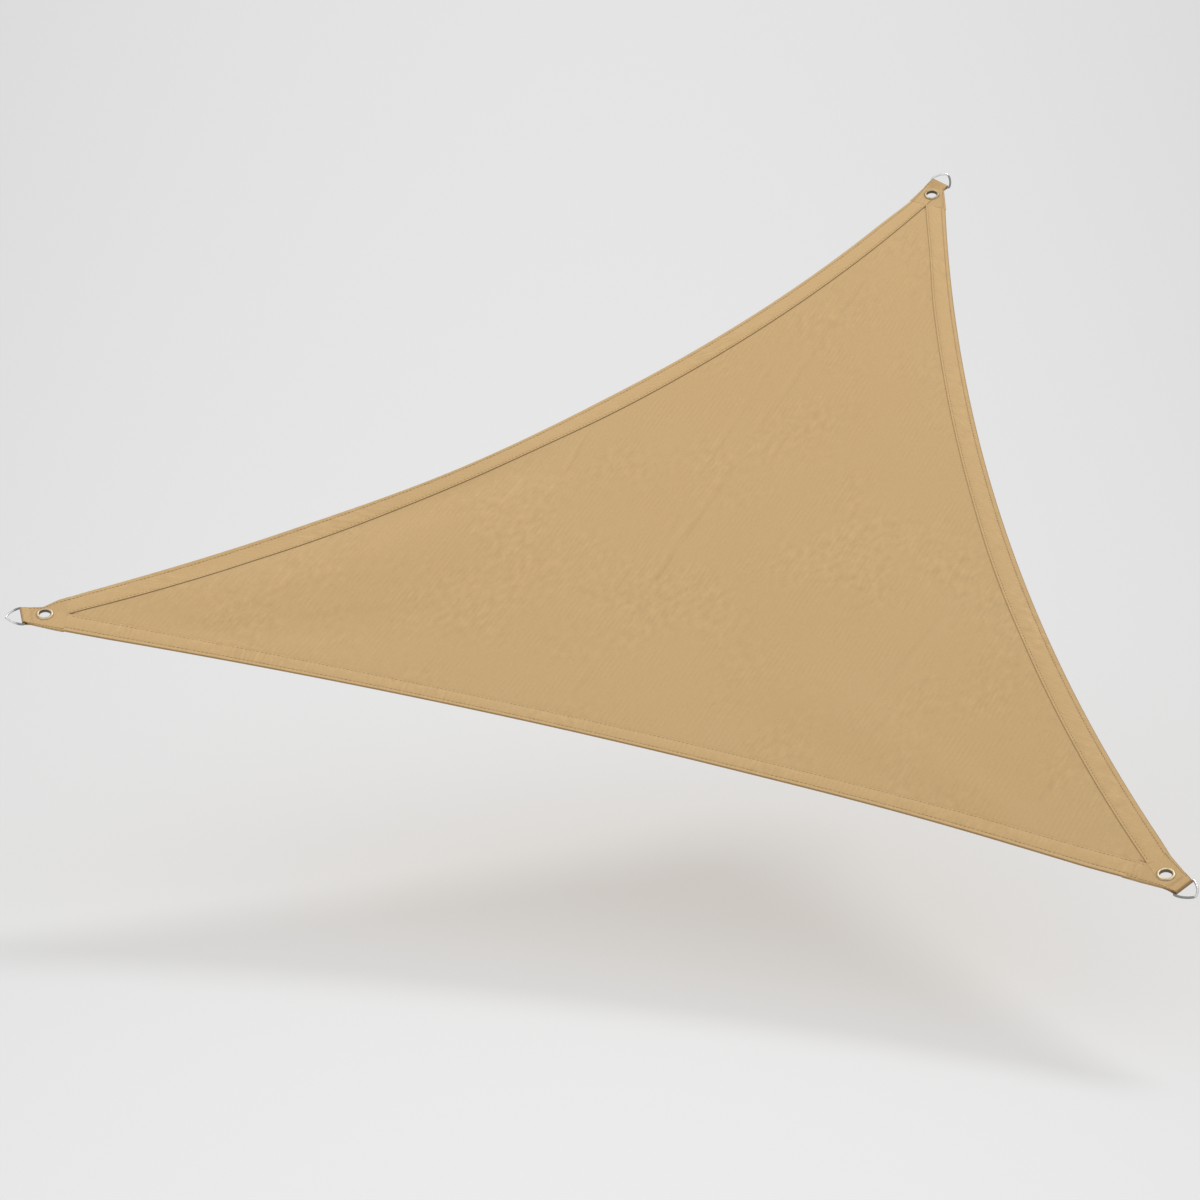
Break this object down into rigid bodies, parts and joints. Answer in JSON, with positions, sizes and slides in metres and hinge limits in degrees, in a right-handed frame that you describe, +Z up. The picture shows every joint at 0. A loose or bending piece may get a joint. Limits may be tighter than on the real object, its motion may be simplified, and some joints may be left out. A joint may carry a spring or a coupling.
{
  "type": "triangular shade sail with corner rings",
  "caption": "Three-cornered shade sail of knitted cloth with hollow hemmed edges, a strap with an eyelet and a wire ring at each corner, shown stretched between points at different heights.",
  "frame": {"origin": "where a hook bears inside the nose of the top corner's ring, on the middle line of its wire's inner side", "axes": "+X to the right seen from the front, +Y away from the viewer, +Z up; the sail hangs as in use, its left corner at middle height, its top corner highest and at the back, its right corner lowest and nearest"},
  "size_m": [2.2464, 2.0803, 1.031],
  "materials": {
    "shade_cloth": "sand-coloured knitted polyethylene, matt",
    "strap_cloth": "sand-coloured strap of the same cloth, matt",
    "bright_steel": "bright, lightly worn"
  },
  "bodies": {
    "root": {"sail_cloth": "shade_cloth", "corner_strap_left": "strap_cloth", "corner_strap_top": "strap_cloth", "corner_strap_right": "strap_cloth", "eyelet_left": "bright_steel", "eyelet_top": "bright_steel", "eyelet_right": "bright_steel", "ring_left": "bright_steel", "ring_top": "bright_steel", "ring_right": "bright_steel"}
  },
  "joints": []
}
